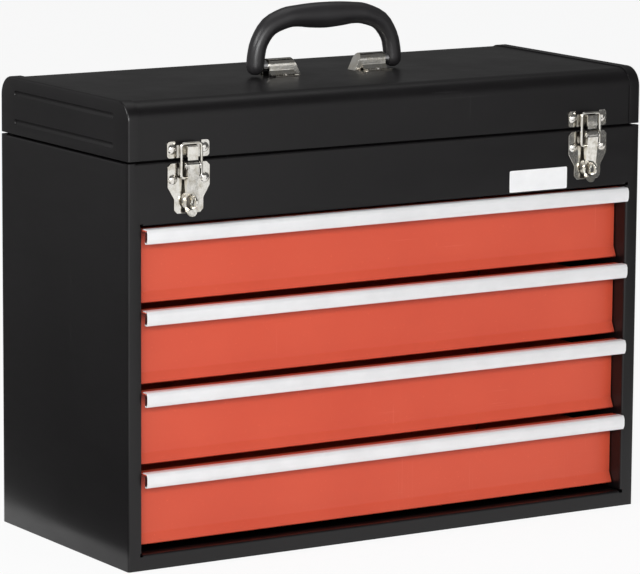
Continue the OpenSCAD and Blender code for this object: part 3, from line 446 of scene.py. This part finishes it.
camera_data = bpy.data.cameras.new("camera")
camera_data.sensor_width = SENSOR_MM
camera_data.lens = FOCAL_PX * SENSOR_MM / PICTURE_W
camera_data.clip_end = VIEW_END
camera = add_object("camera", camera_data)
level_gaze = Matrix.Rotation(math.radians(90), 4, "X")
turn = Matrix.Rotation(YAW, 4, "Z") @ Matrix.Rotation(PITCH, 4, "X") @ Matrix.Rotation(ROLL, 4, "Y")
camera.matrix_world = Matrix.Translation(Vector(CAMERA_PLACE)) @ turn @ level_gaze
bpy.context.scene.camera = camera


def area_light(name, where, aim, size, power):
    data = bpy.data.lights.new(name, "AREA")
    data.shape = "RECTANGLE"
    data.size, data.size_y = size
    data.energy = power
    lamp = add_object(name, data)
    lamp.location = where
    lamp.rotation_euler = (Vector(aim) - Vector(where)).to_track_quat("-Z", "Y").to_euler()


for name, (where, aim, size, power) in LAMPS.items():
    area_light(name, where, aim, size, power)


# ---- World and floor ----------------------------------------------------------------------

def seen_directly(tree):
    """1 for camera, reflection and transmission rays, 0 for the rays that light the object."""
    path = node(tree, "ShaderNodeLightPath").outputs
    seen = math_node(tree, "MAXIMUM", path["Is Camera Ray"], path["Is Glossy Ray"])
    return math_node(tree, "MAXIMUM", seen, path["Is Transmission Ray"])


def rectangle(x0, y0, x1, y1):
    return [(x0, y0), (x1, y0), (x1, y1), (x0, y1)]


def flat_mesh(name, outline, z=0.0):
    """Mesh of one level face."""
    mesh = bpy.data.meshes.new(name)
    mesh.from_pydata([(x, y, z) for x, y in outline], [], [tuple(range(len(outline)))])
    return mesh


def choose_shader(tree, factor, lit, seen, out):
    """Surface of out: the shader lit at factor 0 and the shader seen at factor 1."""
    choice = node(tree, "ShaderNodeMixShader")
    tree.links.new(factor, choice.inputs[0])
    tree.links.new(lit.outputs[0], choice.inputs[1])
    tree.links.new(seen.outputs[0], choice.inputs[2])
    tree.links.new(choice.outputs[0], out.inputs["Surface"])


def make_world():
    """Soft even light that the camera and the reflections see as plain white."""
    world = bpy.data.worlds.new("studio")
    world.use_nodes = True
    bpy.context.scene.world = world
    tree = world.node_tree
    tree.nodes.clear()
    out = node(tree, "ShaderNodeOutputWorld")
    soft = node(tree, "ShaderNodeBackground", {"Color": SKY_COLOUR, "Strength": SKY_STRENGTH})
    plain = node(tree, "ShaderNodeBackground", {"Color": WHITE, "Strength": 1.0})
    choose_shader(tree, seen_directly(tree), soft, plain, out)


def make_floor():
    """Pale floor, white to the camera but for the box's shadow."""
    mesh = flat_mesh("floor", rectangle(-FLOOR_REACH, -FLOOR_REACH, FLOOR_REACH, FLOOR_REACH))
    floor = add_object("floor", mesh)
    floor.location.z = -FLOOR_DROP
    mat, tree, shader = new_material("floor_white")
    set_all(shader, Base_Color=FLOOR_GREY, Roughness=0.9, Specular_IOR_Level=0.0)
    glow = node(tree, "ShaderNodeEmission", {"Color": WHITE, "Strength": 1.0})
    share = math_node(tree, "MULTIPLY", seen_directly(tree), FLOOR_WHITE_SHARE)
    choose_shader(tree, share, shader, glow, tree.nodes["Material Output"])
    mesh.materials.append(mat)


make_world()
make_floor()


# ---- Cards for the paint's gloss and the metal to reflect ----------------------------------

def card(name, level, mesh):
    """Plain card that only reflections see, at a brightness of level, where 1 is white."""
    piece = add_object(name, mesh)
    piece.visible_camera = False
    piece.visible_diffuse = False
    piece.visible_shadow = False
    piece.visible_transmission = False
    mat, tree, shader = new_material(name)
    set_all(shader, Base_Color=BLACK, Roughness=1.0, Specular_IOR_Level=0.0,
            Emission_Color=WHITE, Emission_Strength=level)
    mesh.materials.append(mat)


def flat_card(name, level, outline, z=CARD_Z):
    card(name, level, flat_mesh(name, outline, z))


def wall_card(name, level, start, end, top=CEILING_Z):
    """Upright card along an arc about the object, between two bearings in degrees."""
    count = round((end - start) / WALL_STEP)
    bearings = [math.radians(start + (end - start) * k / count) for k in range(count + 1)]
    ring = [(WALL_RADIUS * math.cos(a), WALL_RADIUS * math.sin(a)) for a in bearings]
    points = [(x, y, z) for z in (0.0, top) for x, y in ring]
    row = len(ring)
    mesh = bpy.data.meshes.new(name)
    mesh.from_pydata(points, [], [(k, k + 1, row + k + 1, row + k) for k in range(count)])
    card(name, level, mesh)


def to_the_right(near, far):
    """Outline of the floor between two points and the room's right end."""
    return [near, far, (ROOM_END, far[1]), (ROOM_END, near[1])]


wall_card("wall_card_back", level=0.12, start=-57.0, end=90.0)
wall_card("wall_card_side", level=0.32, start=90.0, end=220.0)
wall_card("wall_card_left", level=1.0, start=-140.0, end=-57.0, top=LEFT_WALL_TOP)
ceiling = rectangle(-WALL_RADIUS, -WALL_RADIUS, WALL_RADIUS, WALL_RADIUS)
flat_card("ceiling_card", level=0.12, outline=ceiling, z=CEILING_Z)

# The floor that the drawers and the panel over them reflect, from near the box outwards
near, middle, far = (0.0, -0.4), (0.51, -1.2), (1.60, -2.85)
flat_card("floor_card_near_right", level=0.16, outline=to_the_right(near, middle))
flat_card("floor_card_right", level=0.10, outline=to_the_right(middle, far))

# White patch that the right latch's lever reflects
flat_card("floor_card_small", level=1.0, outline=rectangle(0.42, -1.0, 0.8, -0.5), z=SMALL_CARD_Z)

# The floor to the left, which the box's side reflects
flat_card("floor_card_near_left", level=0.1, outline=rectangle(-0.8, -0.3, -0.27, ROOM_END))
flat_card("floor_card_left", level=0.2, outline=rectangle(-ROOM_END, -0.3, -0.8, ROOM_END))

bpy.context.scene.view_settings.view_transform = "Standard"
